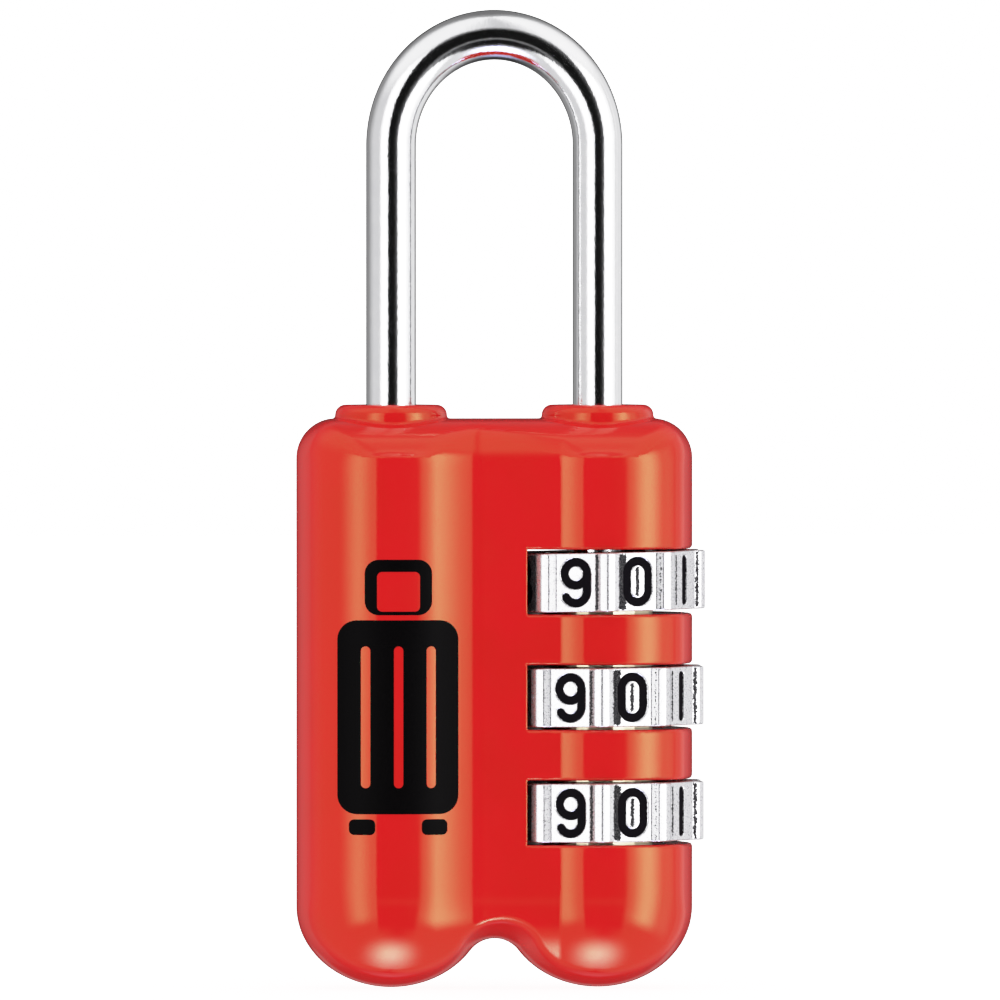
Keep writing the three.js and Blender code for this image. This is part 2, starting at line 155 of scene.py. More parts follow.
DIAL_GROOVE_HALF_WIDTH = 0.6
DIAL_RELIEF_RADIUS = 3.9
DIAL_RELIEF_TOP = 0.35

# The shackle
ARCH_START = 48.84
LONG_LEG_END = 8.0
SHORT_LEG_END = 28.8
LEG_END_RADIUS = 1.2                # the foot of the long leg is chamfered to this
SPIGOT_RADIUS = 0.8                 # below it a thin end goes down inside the lift spring
SPIGOT_CHAMFER = 0.2
SHORT_LEG_ROUNDING = 0.35
LUG_RADIUS = 2.35
LUG_HALF_WIDTH = 0.55
LUG_HEIGHT = 0.85
LUG_DROP = 0.65                     # from a dial's middle down to the lug's top

# The springs
LIFT_COIL = {"radius": 1.1, "wire": 0.17, "turns": 8}
CLUTCH_COIL = {"radius": 2.65, "wire": 0.22, "turns": 3}
COIL_END_GAP = 0.02


def in_frame(points):
    """Millimetre points with heights from the lobes' underside, as metres in the frame."""
    return (np.asarray(points, float) + [0, 0, BASE]) * MM


# ---------------------------------------------------------------- meshes

def add_object(name, data):
    made = bpy.data.objects.new(name, data)
    bpy.context.scene.collection.objects.link(made)
    return made


def make_object(name, vertices, faces, smooth=True):
    mesh = bpy.data.meshes.new(name)
    mesh.from_pydata([tuple(v) for v in in_frame(vertices)], [], [tuple(f) for f in faces])
    mesh.polygons.foreach_set("use_smooth", [smooth] * len(mesh.polygons))
    mesh.update()
    return add_object(name, mesh)


def object_of(work, name):
    """The object of a bmesh, which is freed."""
    mesh = bpy.data.meshes.new(name)
    work.to_mesh(mesh)
    work.free()
    return add_object(name, mesh)


def shade_smooth(made):
    made.data.polygons.foreach_set("use_smooth", [True] * len(made.data.polygons))


def set_normals(made, normals):
    made.data.normals_split_custom_set_from_vertices([tuple(n) for n in normals])


def gradient(field, points, reach=0.01):
    """The slope of a field at some points, from differences."""
    slopes = np.empty_like(points)
    for axis in range(3):
        step = np.zeros(3)
        step[axis] = reach
        slopes[:, axis] = (field(points + step) - field(points - step)) / (2 * reach)
    return slopes


def cell_corners(values, shift):
    """The grid values at one corner of every cell."""
    counts = np.array(values.shape) - 1
    window = tuple(slice(s, s + c) for s, c in zip(shift, counts))
    return values[window]


def crossing_points(values):
    """For each cell, the middle of the places where the surface crosses its edges."""
    counts = tuple(np.array(values.shape) - 1)
    total = np.zeros(counts + (3,), np.float32)
    found = np.zeros(counts, np.float32)
    for axis in range(3):
        others = [a for a in range(3) if a != axis]
        for first in (0, 1):
            for second in (0, 1):
                start = np.zeros(3, int)
                start[others[0]], start[others[1]] = first, second
                end = start.copy()
                end[axis] = 1
                a, b = cell_corners(values, start), cell_corners(values, end)
                crossed = (a < 0) != (b < 0)
                share = np.where(crossed, a / np.where(crossed, a - b, 1), 0)
                for other in range(3):
                    place = share if other == axis else np.where(crossed, start[other], 0)
                    total[..., other] += place
                found += crossed
    return total, found


def net_faces(values, index):
    """A face for each grid edge that the surface crosses, joining the four cells round it."""
    faces = []
    for axis in range(3):
        others = [(axis + 1) % 3, (axis + 2) % 3]
        near = [slice(1, -1)] * 3
        near[axis] = slice(0, -1)
        far = list(near)
        far[axis] = slice(1, None)
        a, b = values[tuple(near)], values[tuple(far)]
        crossed = (a < 0) != (b < 0)
        ring = []
        for u, v in ((0, 0), (1, 0), (1, 1), (0, 1)):
            window = [slice(0, None)] * 3
            window[others[0]] = slice(1 - u, -u or None)
            window[others[1]] = slice(1 - v, -v or None)
            ring.append(index[tuple(window)][crossed])
        quads = np.stack(ring, 1)
        facing_back = a[crossed] > 0
        faces.append(np.where(facing_back[:, None], quads[:, ::-1], quads))
    return np.concatenate(faces)


def implicit_object(name, field, low, high, step):
    """A closed object of the surface where a field is 0. The field is negative inside."""
    low, high = np.array(low, float), np.array(high, float)
    counts = np.ceil((high - low) / step).astype(int) + 1
    axes = [low[a] + step * np.arange(counts[a]) for a in range(3)]
    grid = np.stack(np.meshgrid(*axes, indexing="ij"), -1).reshape(-1, 3)
    values = field(grid).reshape(counts)
    total, found = crossing_points(values)
    used = found > 0
    cells = np.argwhere(used)
    points = low + step * (cells + total[used] / found[used][:, None])
    for _ in range(4):
        slopes = gradient(field, points)
        squared = np.maximum((slopes ** 2).sum(1), 0.05)
        move = -(field(points) / squared)[:, None] * slopes
        length = np.linalg.norm(move, axis=1, keepdims=True)
        points = points + move * np.minimum(1, 0.3 * step / np.maximum(length, 1e-9))
    index = np.full(used.shape, -1)
    index[used] = np.arange(len(cells))
    made = make_object(name, points, net_faces(values, index))
    slopes = gradient(field, points)
    set_normals(made, slopes / np.linalg.norm(slopes, axis=1, keepdims=True))
    return made


def swept_object(name, rings, sides, depth_axis=(0, 1, 0)):
    """A round bar through rings of (centre, direction, radius), closed at both ends."""
    vertices, faces = [], []
    for centre, direction, radius in rings:
        along = np.array(direction, float) / np.linalg.norm(direction)
        side = np.cross(along, depth_axis)
        side /= np.linalg.norm(side)
        up = np.cross(side, along)
        for turn in np.arange(sides) * 2 * math.pi / sides:
            vertices.append(np.array(centre) + radius * (math.cos(turn) * side + math.sin(turn) * up))
    for ring in range(len(rings) - 1):
        for corner in range(sides):
            a, b = ring * sides + corner, ring * sides + (corner + 1) % sides
            faces.append((a, a + sides, b + sides, b))
    faces.append(tuple(range(sides)))
    last = (len(rings) - 1) * sides
    faces.append(tuple(last + sides - 1 - corner for corner in range(sides)))
    return make_object(name, vertices, faces)


def outward(made):
    """Turns every face to point out and marks the sharp edges."""
    work = bmesh.new()
    work.from_mesh(made.data)
    bmesh.ops.recalc_face_normals(work, faces=work.faces)
    work.to_mesh(made.data)
    work.free()
    made.data.set_sharp_from_angle(angle=math.radians(40))
    return made


def join(name, objects):
    """Several objects as one."""
    work = bmesh.new()
    for made in objects:
        work.from_mesh(made.data)
        bpy.data.objects.remove(made)
    return object_of(work, name)


# ---------------------------------------------------------------- body shape

def smooth_max(a, b, width):
    share = np.clip(0.5 + 0.5 * (a - b) / width, 0, 1)
    return b + (a - b) * share + width * share * (1 - share)


def smooth_min(a, b, width):
    return -smooth_max(-a, -b, width)


def box_field(points, corners):
    low, high = np.array(corners[0]), np.array(corners[1])
    return np.max(np.maximum(low - points, points - high), axis=1)


def arch_circle():
    """Centre height, radius and touching angle of the arch between the lobes."""
    touch_height = LOBE_DROP * (1 - math.sqrt(1 - (ARCH_TOUCH / LOBE_HALF_WIDTH) ** 2))
    normal = np.array([ARCH_TOUCH / LOBE_HALF_WIDTH ** 2, (touch_height - LOBE_DROP) / LOBE_DROP ** 2])
    normal /= np.linalg.norm(normal)
    radius = (LOBE_X - ARCH_TOUCH) / normal[0]
    return touch_height + radius * normal[1], radius, math.atan2(-normal[1], normal[0])


ARCH_HEIGHT, ARCH_RADIUS, ARCH_ANGLE = arch_circle()


def from_top_corner(x, height):
    """A point's place across and up from the middle of the nearer top corner's curve."""
    return np.abs(x) - (HALF_WIDTH - TOP_CORNER_RADIUS), height - (BODY_TOP - TOP_CORNER_RADIUS)


def outline_inset(x, height):
    """How far inside the front outline a point lies."""
    side = np.abs(x)
    across, up = from_top_corner(x, height)
    corner = np.hypot(np.maximum(across, 0), np.maximum(up, 0))
    above = TOP_CORNER_RADIUS - corner - np.minimum(np.maximum(across, up), 0)

    u, w = side - LOBE_X, height - LOBE_DROP
    reach = np.maximum(np.hypot(u / LOBE_HALF_WIDTH, w / LOBE_DROP), 0.05)
    steepness = np.hypot(u / LOBE_HALF_WIDTH ** 2, w / LOBE_DROP ** 2) / reach
    lobe = (1 - reach) / np.maximum(steepness, 0.05)
    inset = np.where(w < 0, lobe, above)

    over_arch = np.arctan2(height - ARCH_HEIGHT, side) > ARCH_ANGLE
    arch = np.hypot(side, height - ARCH_HEIGHT) - ARCH_RADIUS
    return np.where(over_arch, np.minimum(above, arch), inset)


def front_depth(x, height):
    """Half the body's thickness inside the crease."""
    def arc_depth(u):
        return np.sqrt(np.maximum(LOBE_ARC_RADIUS ** 2 - u ** 2, 0.5)) + CREST_DEPTH - LOBE_ARC_RADIUS

    u = x + LOBE_X
    past = np.maximum(u - FLANK_START, 0)
    steepness = FLANK_START / math.sqrt(LOBE_ARC_RADIUS ** 2 - FLANK_START ** 2)
    flank = arc_depth(FLANK_START) - steepness * past + FLANK_CURVE * past ** 2
    plain_side = np.where(u > FLANK_START, flank, arc_depth(u))

    along = LOBE_X - SHELF_EDGE - x
    shelf = arc_depth(SHELF_EDGE) - SHELF_SLOPE * along - SHELF_CURVE * along ** 2
    arc_side = arc_depth(x - LOBE_X)
    dial_side = np.where(x < LOBE_X, smooth_max(arc_side, shelf, SHELF_SOFTNESS), arc_side)
    bulge = np.where(x < 0, smooth_max(plain_side, shelf, GROOVE_SOFTNESS), dial_side)
    bottom = BOTTOM_ROLL * np.maximum(BOTTOM_ROLL_HEIGHT - height, 0) ** 2
    top = TOP_ROLL * np.maximum(height - TOP_ROLL_HEIGHT, 0) ** 2
    return bulge - bottom - top


def blank_field(points):
    """The whole outside of the body, before anything is cut out of it."""
    x, y, height = points.T
    depth = np.abs(y)
    across, up = (np.maximum(place, 0) for place in from_top_corner(x, height))
    top_share = up ** 2 / (up ** 2 + across ** 2 + TOP_TURN ** 2)
    side_band = SIDE_CREASE_INSET * (depth / CREASE_DEPTH) ** SIDE_BAND_POWER
    top_band = TOP_CREASE_INSET * (depth / CREASE_DEPTH) ** TOP_BAND_POWER
    band = side_band + (top_band - side_band) * top_share - outline_inset(x, height)
    face = FRONT_STEEPNESS * (depth - front_depth(x, height))
    block = smooth_max(band, face, CREASE_SOFTNESS)
    radius = np.hypot(np.abs(x) - LOBE_X, y) - (BOSS_RADIUS - BOSS_EDGE)
    rise = np.abs(height - BODY_TOP) - (BOSS_HEIGHT - BOSS_EDGE)
    outside = np.hypot(np.maximum(radius, 0), np.maximum(rise, 0))
    boss = outside + np.minimum(np.maximum(radius, rise), 0)
    return smooth_min(block, boss - BOSS_EDGE, BOSS_FILLET)


def bores_field(points):
    """Everything bored out of the body except the dials' slots. Negative inside a bore."""
    x, y, height = points.T
    from_long = np.hypot(x - LOBE_X, y)
    from_short = np.hypot(x + LOBE_X, y)
    past_ends = np.abs(height - SLEEVE_BORE_MIDDLE) - SLEEVE_BORE_HALF
    sleeve_bore = np.maximum(from_long - SLEEVE_BORE_RADIUS, past_ends)
    leg_bore = np.maximum(from_long - LEG_BORE_RADIUS, LIFT_SHOULDER - BORE_OVERLAP - height)
    short_bore = np.maximum(from_short - LEG_BORE_RADIUS, SHORT_BORE_FLOOR - height)
    bores = [sleeve_bore, leg_bore, short_bore, box_field(points, KEYWAY), box_field(points, CHANNEL)]
    return np.minimum.reduce(bores)


def slots_field(points):
    x, y, height = points.T
    from_axis = np.hypot(x - LOBE_X, y) - SLOT_RADIUS
    slots = [np.maximum(np.abs(height - middle) - SLOT_HEIGHT / 2, from_axis) for middle in DIAL_HEIGHTS]
    return np.minimum.reduce(slots)


def body_field(points):
    slotted = smooth_max(blank_field(points), -slots_field(points), SLOT_SOFTNESS)
    return smooth_max(slotted, -bores_field(points), BORE_SOFTNESS)


def build_body():
    margin = 0.5
    low = (-HALF_WIDTH - margin, -CREST_DEPTH - margin, -margin)
    high = (HALF_WIDTH + margin, CREST_DEPTH + margin, BOSS_TOP + margin)
    return implicit_object("enamelled_body", body_field, low, high, BODY_STEP)


# ---------------------------------------------------------------- printed mark

PRINT_MIDDLE = (-5.85, 17.0)        # across, and height
PRINT_LIFT = 0.012
PRINT_HALF_WIDTH = 4.0
PRINT_STRIP = 0.2                   # the print is cut into strips this wide, to bend round the lobe


def rounded_rectangle(x, y, width, height, radius, steps=8):
    """Points round a rectangle whose corners are rounded."""
    points = []
    corners = ((1, 1, 0), (-1, 1, 90), (-1, -1, 180), (1, -1, 270))
    for across, up, start in corners:
        for step in range(steps + 1):
            angle = math.radians(start + 90 * step / steps)
            points.append((
                x + across * (width / 2 - radius) + radius * math.cos(angle),
                y + up * (height / 2 - radius) + radius * math.sin(angle),
            ))
    return points


def suitcase_outlines():
    """A plain suitcase: outlines, and holes inside them, about the mark's middle."""
    shell = rounded_rectangle(0, -1.2, 7.0, 11.2, 1.1)
    ribs = [rounded_rectangle(x, -1.2, 0.55, 8.2, 0.27) for x in (-1.9, 0, 1.9)]
    wheels = [rounded_rectangle(x, -7.55, 1.5, 0.9, 0.3) for x in (-2.1, 2.1)]
    handle = rounded_rectangle(0, 6.3, 3.9, 3.2, 0.8)
    opening = rounded_rectangle(0, 6.05, 2.5, 2.3, 0.3)
    return [shell, *ribs, *wheels, handle, opening]


def flat_mark():
    """The mark as a flat mesh, in millimetres across and up."""
    curve = bpy.data.curves.new("mark", "CURVE")
    curve.dimensions = "2D"
    curve.fill_mode = "BOTH"
    for outline in suitcase_outlines():
        spline = curve.splines.new("POLY")
        spline.points.add(len(outline) - 1)
        for point, (x, y) in zip(spline.points, outline):
            point.co = (x + PRINT_MIDDLE[0], y + PRINT_MIDDLE[1], 0, 1)
        spline.use_cyclic_u = True
    flat = add_object("mark", curve)
    mesh = bpy.data.meshes.new_from_object(flat)
    bpy.data.objects.remove(flat)
    return mesh


def build_print():
    """The mark, bent to lie just over the front of the body."""
    work = bmesh.new()
    work.from_mesh(flat_mark())
    left, right = PRINT_MIDDLE[0] - PRINT_HALF_WIDTH, PRINT_MIDDLE[0] + PRINT_HALF_WIDTH
    for cut in np.arange(left, right, PRINT_STRIP):
        bmesh.ops.bisect_plane(
            work, geom=work.verts[:] + work.edges[:] + work.faces[:],
            plane_co=(cut, 0, 0), plane_no=(1, 0, 0),
        )
    for vertex in work.verts:
        x, height = vertex.co.x, vertex.co.y
        depth = float(front_depth(np.array([x]), np.array([height]))[0])
        vertex.co = Vector(in_frame((x, -depth - PRINT_LIFT, height)))
    for face in work.faces:
        if face.normal.y > 0:
            face.normal_flip()
    bmesh.ops.triangulate(work, faces=work.faces[:])
    made = object_of(work, "front_print")
    shade_smooth(made)
    return made


# ---------------------------------------------------------------- dials

def arc(x, y, radius_x, radius_y, start, end):
    """Points along part of an ellipse, between two angles in degrees."""
    steps = max(int(abs(end - start) / 12), 2)
    angles = [math.radians(start + (end - start) * step / steps) for step in range(steps + 1)]
    return [(x + radius_x * math.cos(a), y + radius_y * math.sin(a)) for a in angles]


def digit_strokes():
    """The middle lines of the ten digits, each a list of strokes."""
    a, b = DIGIT_HALF_WIDTH, DIGIT_HALF_HEIGHT
    round_top = b - a
    nine = [
        arc(0, round_top, a, a, 0, 360),
        [(a, round_top), (a, -0.5), *arc(0, -0.5, a, b - 0.5, 0, -150)],
    ]
    six = [[(-x, -y) for x, y in stroke] for stroke in nine]
    return [
        [[*arc(0, round_top, a, a, 0, 180), *arc(0, -round_top, a, a, 180, 360), (a, round_top)]],
        [[(0, b), (0, -b)]],
        [[*arc(0, round_top, a, a, 165, -35), (-a, -b), (a, -b)]],
        [[*arc(0, 0.6, 0.55, b - 0.6, 150, -80), *arc(0, -0.58, a, b - 0.58, 80, -150)]],
        [[(0.28, -b), (0.28, b), (-a, -0.45), (a, -0.45)]],
        [[(a - 0.1, b), (-a + 0.1, b), (-a + 0.05, 0.15), *arc(0, -0.48, a, b - 0.48, 125, -150)]],
        six,
        [[(-a, b), (a, b), (-0.2, -b)]],
        [arc(0, 0.62, 0.53, b - 0.62, 0, 360), arc(0, -0.6, a, b - 0.6, 0, 360)],
        nine,
    ]


def stroke_distance(x, y, strokes):
    """The distance from points to the nearest of some strokes."""
    nearest = np.full(np.shape(x), 9.0)
    for stroke in strokes:
        for (ax, ay), (bx, by) in zip(stroke, stroke[1:]):
            dx, dy = bx - ax, by - ay
            share = np.clip(((x - ax) * dx + (y - ay) * dy) / max(dx * dx + dy * dy, 1e-9), 0, 1)
            nearest = np.minimum(nearest, np.hypot(x - ax - share * dx, y - ay - share * dy))
    return nearest


def smooth_step(value, low, high):
    share = np.clip((value - low) / (high - low), 0, 1)
    return share * share * (3 - 2 * share)


def rounded_box_distance(x, y, half_width, half_height, corner):
    across, up = np.abs(x) - half_width + corner, np.abs(y) - half_height + corner
    outside = np.hypot(np.maximum(across, 0), np.maximum(up, 0))
    return outside + np.minimum(np.maximum(across, up), 0) - corner


def dial_columns():
    """Angles of the columns in one digit's sector, in degrees from the middle of its flat."""
    rib_start = SECTOR / 2 - math.degrees(RIB_HALF_WIDTH / DIAL_RIB_RADIUS)
    wall_start = rib_start - math.degrees(RIB_WALL / DIAL_RIB_RADIUS)
    flat = np.linspace(-wall_start, wall_start, 56)
    wall = np.linspace(wall_start, rib_start, 9)[1:]
    rib = np.linspace(rib_start, SECTOR - rib_start, 20)[1:]
    far_wall = np.linspace(SECTOR - rib_start, SECTOR - wall_start, 9)[1:-1]
    return np.concatenate([flat, wall, rib, far_wall])


def dial_rows():
    """Heights of the rows up the outside of a dial, from its middle."""
    half = DIAL_THICKNESS / 2
    edge = np.array([0, 0.03, 0.06, 0.1, 0.15, 0.2])
    middle = np.linspace(-half + 0.25, half - 0.25, 60)
    return np.concatenate([-half + edge, middle, half - edge[::-1]])


def from_flat(angle):
    """Degrees from the middle of the nearest flat, for an angle from the middle of digit 0."""
    return (angle + SECTOR / 2) % SECTOR - SECTOR / 2


def dial_outside(angle, height, digit_of):
    """Radius of the outside, and the distances to the digits, to the paint left in corners and to the
    painted shade on digit 8's flat.
    """
    turn = np.radians(from_flat(angle))
    s = FLAT_APOTHEM * np.tan(turn)
    flat = FLAT_APOTHEM / np.cos(turn)
    from_rib = DIAL_RIB_RADIUS * np.radians(angle % SECTOR - SECTOR / 2)
    rib = rounded_box_distance(
        from_rib, height, RIB_HALF_WIDTH, DIAL_THICKNESS / 2 - RIB_END_GAP, RIB_CORNER,
    )
    raise_share = np.clip(1 - rib / RIB_WALL, 0, 1)
    ridge = DIAL_RIB_RADIUS - RIB_FALL * (np.hypot(from_rib, RIDGE_SOFTNESS) - RIDGE_SOFTNESS)
    radius = flat + (ridge - flat) * raise_share

    digits = np.full(np.shape(angle), 9.0)
    for digit, strokes in enumerate(digit_strokes()):
        here = digit_of == digit
        digits[here] = stroke_distance(s[here], height[here], strokes) - STROKE
    radius = radius - ENGRAVING * smooth_step(-digits, -0.03, 0.05)
    from_end = DIAL_THICKNESS / 2 - np.abs(height)
    edge = np.clip(DIAL_EDGE - from_end, 0, None)
    radius = radius - (DIAL_EDGE - np.sqrt(DIAL_EDGE ** 2 - edge ** 2))

    return radius, digits, left_paint_and_shade(s, height, digit_of)


def left_paint_and_shade(s, height, digit_of):
    """The distance to the paint left beside the ribs, wiped away more from some flats than others, and to a
    wide band of painted shade on digit 8's flat, which at rest lies in the shadow of the slot's left edge.
    """
    half_height = DIAL_THICKNESS / 2 - 0.09
    wiped = WIPED_AWAY * ((digit_of % 3 == 1) + 2 * (digit_of == 9))
    before = rounded_box_distance(s + RESIDUE_MIDDLE, height, RESIDUE_HALF_WIDTH, half_height, 0.1) + wiped
    # Beside the other rib, a thin band of paint is left behind. On digit 8's flat this band is widened into
    # painted shade, for the shadow at the slot's left edge.
    reach = np.select([digit_of == 8, digit_of % 4 == 1], [0.5, 0.09], 0.02)
    after = rounded_box_distance(s - RESIDUE_AND_SHADE_EDGE + reach, height, reach, half_height, 0.02)
    inside = np.where(digit_of == 0, rounded_box_distance(s + 0.03, height, 0.12, 0.85, 0.1), 9.0)
    return np.minimum.reduce([before, after, inside])


def dial_inside(turns):
    """Radius and height of the rings that close a dial: its two faces and its grooved bore."""
    half = DIAL_THICKNESS / 2
    from_groove = np.abs(DIAL_GROOVE_RADIUS * np.radians(from_flat(turns)))
    bore = np.where(from_groove < DIAL_GROOVE_HALF_WIDTH, DIAL_GROOVE_RADIUS, DIAL_BORE_RADIUS)
    rings = [
        (DIAL_FACE_RADIUS, half), (DIAL_GROOVE_RADIUS + 0.45, half), (bore, half),
        (bore, DIAL_RELIEF_TOP), (DIAL_RELIEF_RADIUS, DIAL_RELIEF_TOP), (DIAL_RELIEF_RADIUS, -half),
        (DIAL_RELIEF_RADIUS + 0.9, -half), (DIAL_FACE_RADIUS, -half),
    ]
    radius = np.stack([np.broadcast_to(ring[0], bore.shape) for ring in rings], 1)
    height = np.tile([ring[1] for ring in rings], (len(bore), 1))
    return radius, height


def closed_grid_faces(columns, rows):
    """The faces of a grid that closes on itself both ways."""
    index = np.arange(columns * rows).reshape(columns, rows)
    next_column, next_row = np.roll(index, -1, 0), np.roll(index, -1, 1)
    corner = np.roll(next_column, -1, 1)
    return np.stack([index, next_column, corner, next_row], -1).reshape(-1, 4)


def build_dial(row):
    """One dial, a little turned and tilted in its slot."""
    sector = dial_columns()
    turns = np.concatenate([SECTOR * digit + sector for digit in range(DIGITS)])
    digit_of = np.floor((turns + SECTOR / 2) / SECTOR).astype(int) % DIGITS
    rows = dial_rows()
    turn_grid, height_grid = np.meshgrid(turns, rows, indexing="ij")
    digit_grid = np.repeat(digit_of[:, None], len(rows), 1)
    outer_radius, digits, residue_and_shade = dial_outside(turn_grid, height_grid, digit_grid)
    inner_radius, inner_height = dial_inside(turns)
    radius = np.concatenate([outer_radius, inner_radius], 1)
    height = np.concatenate([height_grid, inner_height], 1)

    angle = np.radians(FIRST_FLAT + turns + DIAL_PLAY[row])[:, None]
    across = radius * np.sin(angle)
    height = height + DIAL_HEIGHTS[row] + DIAL_TILT[row] * across
    points = np.stack([LOBE_X + across, -radius * np.cos(angle), height], -1)
    faces = closed_grid_faces(*radius.shape)
    made = make_object(f"number_dial_{row + 1}", points.reshape(-1, 3), faces)

    # The second attribute holds the paint left beside the ribs and the painted shade on digit 8's flat.
    clear = np.full(inner_radius.shape, 9.0)
    for name, field in (("digit", digits), ("residue_and_shade", residue_and_shade)):
        values = np.concatenate([field, clear], 1).astype(np.float32).ravel()
        made.data.attributes.new(name, "FLOAT", "POINT").data.foreach_set("value", values)
    made.data.set_sharp_from_angle(angle=math.radians(42))
    return made


# ---------------------------------------------------------------- shackle and springs

def shackle_rings():
    """Rings from the long leg's spigot, over the arch, to the short leg's end."""
    rise = SHACKLE_HIGH - WIRE_RADIUS - ARCH_START
    up, down = (0, 0, 1), (0, 0, -1)
    foot = [
        (SHACKLE_LOW, SPIGOT_RADIUS - SPIGOT_CHAMFER), (SHACKLE_LOW + SPIGOT_CHAMFER, SPIGOT_RADIUS),
        (LONG_LEG_END, SPIGOT_RADIUS), (LONG_LEG_END + 0.01, LEG_END_RADIUS),
    ]
    rings = [((LOBE_X, 0, height), up, radius) for height, radius in foot]
    for height in np.linspace(LONG_LEG_END + 0.3, ARCH_START, 24):
        rings.append(((LOBE_X, 0, height), up, WIRE_RADIUS))
    for turn in np.linspace(0, math.pi, 97)[1:-1]:
        centre = (LOBE_X * math.cos(turn), 0, ARCH_START + rise * math.sin(turn))
        direction = (-LOBE_X * math.sin(turn), 0, rise * math.cos(turn))
        rings.append((centre, direction, WIRE_RADIUS))
    rounding_start = SHORT_LEG_END + SHORT_LEG_ROUNDING
    for height in np.linspace(ARCH_START, rounding_start, 16):
        rings.append(((-LOBE_X, 0, height), down, WIRE_RADIUS))
    for drop, inset in ((0.15, 0.08), (0.28, 0.22), (SHORT_LEG_ROUNDING, 0.4)):
        rings.append(((-LOBE_X, 0, rounding_start - drop), down, WIRE_RADIUS - inset))
    return rings


def lug(middle):
    """One lug, a block with soft edges on the long leg's inner side."""
    low = np.array([LOBE_X - LUG_RADIUS, -LUG_HALF_WIDTH, middle - LUG_DROP - LUG_HEIGHT])
    high = np.array([LOBE_X - 1.0, LUG_HALF_WIDTH, middle - LUG_DROP])
    work = bmesh.new()
    bmesh.ops.create_cube(work, size=1)
    for vertex in work.verts:
        vertex.co = Vector(in_frame((low + high) / 2 + np.array(vertex.co) * (high - low)))
    bmesh.ops.bevel(work, geom=work.edges[:], offset=0.1 * MM, segments=2, affect="EDGES")
    return object_of(work, "lug")


def build_shackle():
    wire = swept_object("wire", shackle_rings(), 64)
    made = join("shackle_wire", [wire, *[lug(height) for height in DIAL_HEIGHTS]])
    shade_smooth(made)
    return outward(made)


def build_coil(name, size, bottom, top):
    """A coil spring round the long leg's axis, whose end turns lie nearly flat."""
    radius, wire, turns = size["radius"], size["wire"], size["turns"]
    low, high = bottom + COIL_END_GAP + wire, top - COIL_END_GAP - wire
    rings = []
    steps = turns * 24
    for step in range(steps + 1):
        share = step / steps
        turn = share * turns * 2 * math.pi
        height = low + (high - low) * smooth_step(share, 0.0, 1.0)
        centre = (LOBE_X + radius * math.cos(turn), radius * math.sin(turn), height)
        rings.append((centre, (-math.sin(turn), math.cos(turn), 0.05), wire))
    return outward(swept_object(name, rings, 12, (0, 0, 1)))


# ---------------------------------------------------------------- materials

class Nodes:
    """A short way to write a node tree."""

    def __init__(self, tree):
        self.tree = tree
        tree.nodes.clear()

    def put(self, socket, value):
        if isinstance(value, bpy.types.NodeSocket):
            self.tree.links.new(value, socket)
        else:
            socket.default_value = value

    def add(self, kind, inputs=None, **settings):
        node = self.tree.nodes.new(kind)
        for name, value in settings.items():
            setattr(node, name, value)
        for name, value in (inputs or {}).items():
            self.put(node.inputs[name], value)
        return node

    def math(self, operation, a, b=0.0):
        return self.add("ShaderNodeMath", {0: a, 1: b}, operation=operation).outputs[0]

    def step(self, value, low, high):
        """Rises smoothly from 0 at low to 1 at high."""
        inputs = {"Value": value, "From Min": low, "From Max": high}
        node = self.add("ShaderNodeMapRange", inputs, interpolation_type="SMOOTHSTEP")
        return node.outputs["Result"]

    def blend(self, factor, a, b):
        """A colour between a and b."""
        node = self.add("ShaderNodeMix", {"Factor": factor}, data_type="RGBA")
        colours = [socket for socket in node.inputs if socket.type == "RGBA"]
        self.put(colours[0], a)
        self.put(colours[1], b)
        return [socket for socket in node.outputs if socket.type == "RGBA"][0]

    def between(self, factor, a, b):
        """A number between a and b."""
        inputs = {"Value": factor, "To Min": a, "To Max": b}
        return self.add("ShaderNodeMapRange", inputs).outputs["Result"]

    def noise(self, per_mm, detail=2.0, stretch=(1, 1, 1), offset=0.0):
        """Noise in the object's own space, with so many cells to the millimetre."""
        place = self.add("ShaderNodeTexCoord").outputs["Object"]
        scale = tuple(s * per_mm / MM for s in stretch)
        mapping = self.add("ShaderNodeMapping", {
            "Vector": place, "Scale": scale, "Location": (offset, offset, offset),
        })
        inputs = {"Vector": mapping.outputs["Vector"], "Scale": 1.0, "Detail": detail}
        return self.add("ShaderNodeTexNoise", inputs).outputs["Fac"]

    def bump(self, height, distance_mm, strength=1.0, normal=None):
        inputs = {"Height": height, "Distance": distance_mm * MM, "Strength": strength}
        if normal is not None:
            inputs["Normal"] = normal
        return self.add("ShaderNodeBump", inputs).outputs["Normal"]

    def attribute(self, name):
        return self.add("ShaderNodeAttribute", attribute_name=name).outputs["Fac"]

    def finish(self, inputs):
        shader = self.add("ShaderNodeBsdfPrincipled", inputs)
        output = self.add("ShaderNodeOutputMaterial")
        self.put(output.inputs["Surface"], shader.outputs["BSDF"])


def new_material(name):
    material = bpy.data.materials.new(name)
    material.use_nodes = True
    return material, Nodes(material.node_tree)


def enamel():
    """Glossy red-orange stoving enamel, very slightly uneven."""
    material, nodes = new_material("red_enamel")
    clouds = nodes.noise(0.25, 3)
    speck = nodes.step(nodes.noise(9, 1, offset=3.1), 0.72, 0.8)
    red = nodes.blend(nodes.step(clouds, 0.35, 0.7), (0.74, 0.013, 0.0175, 1), (0.71, 0.0145, 0.016, 1))
    colour = nodes.blend(nodes.math("MULTIPLY", speck, 0.12), red, (0.35, 0.005, 0.006, 1))
    skin = nodes.bump(nodes.noise(0.7, 2), 0.0022)
    grain = nodes.bump(nodes.noise(7, 2, offset=7.7), 0.0002, normal=skin)
    roughness = nodes.between(nodes.noise(0.6, 3, offset=1.3), 0.07, 0.11)
    nodes.finish({
        "Base Color": colour, "Roughness": roughness, "Normal": grain,
        "IOR": 1.46, "Specular Tint": (0.35, 1.0, 0.41, 1.0),
    })
    return material


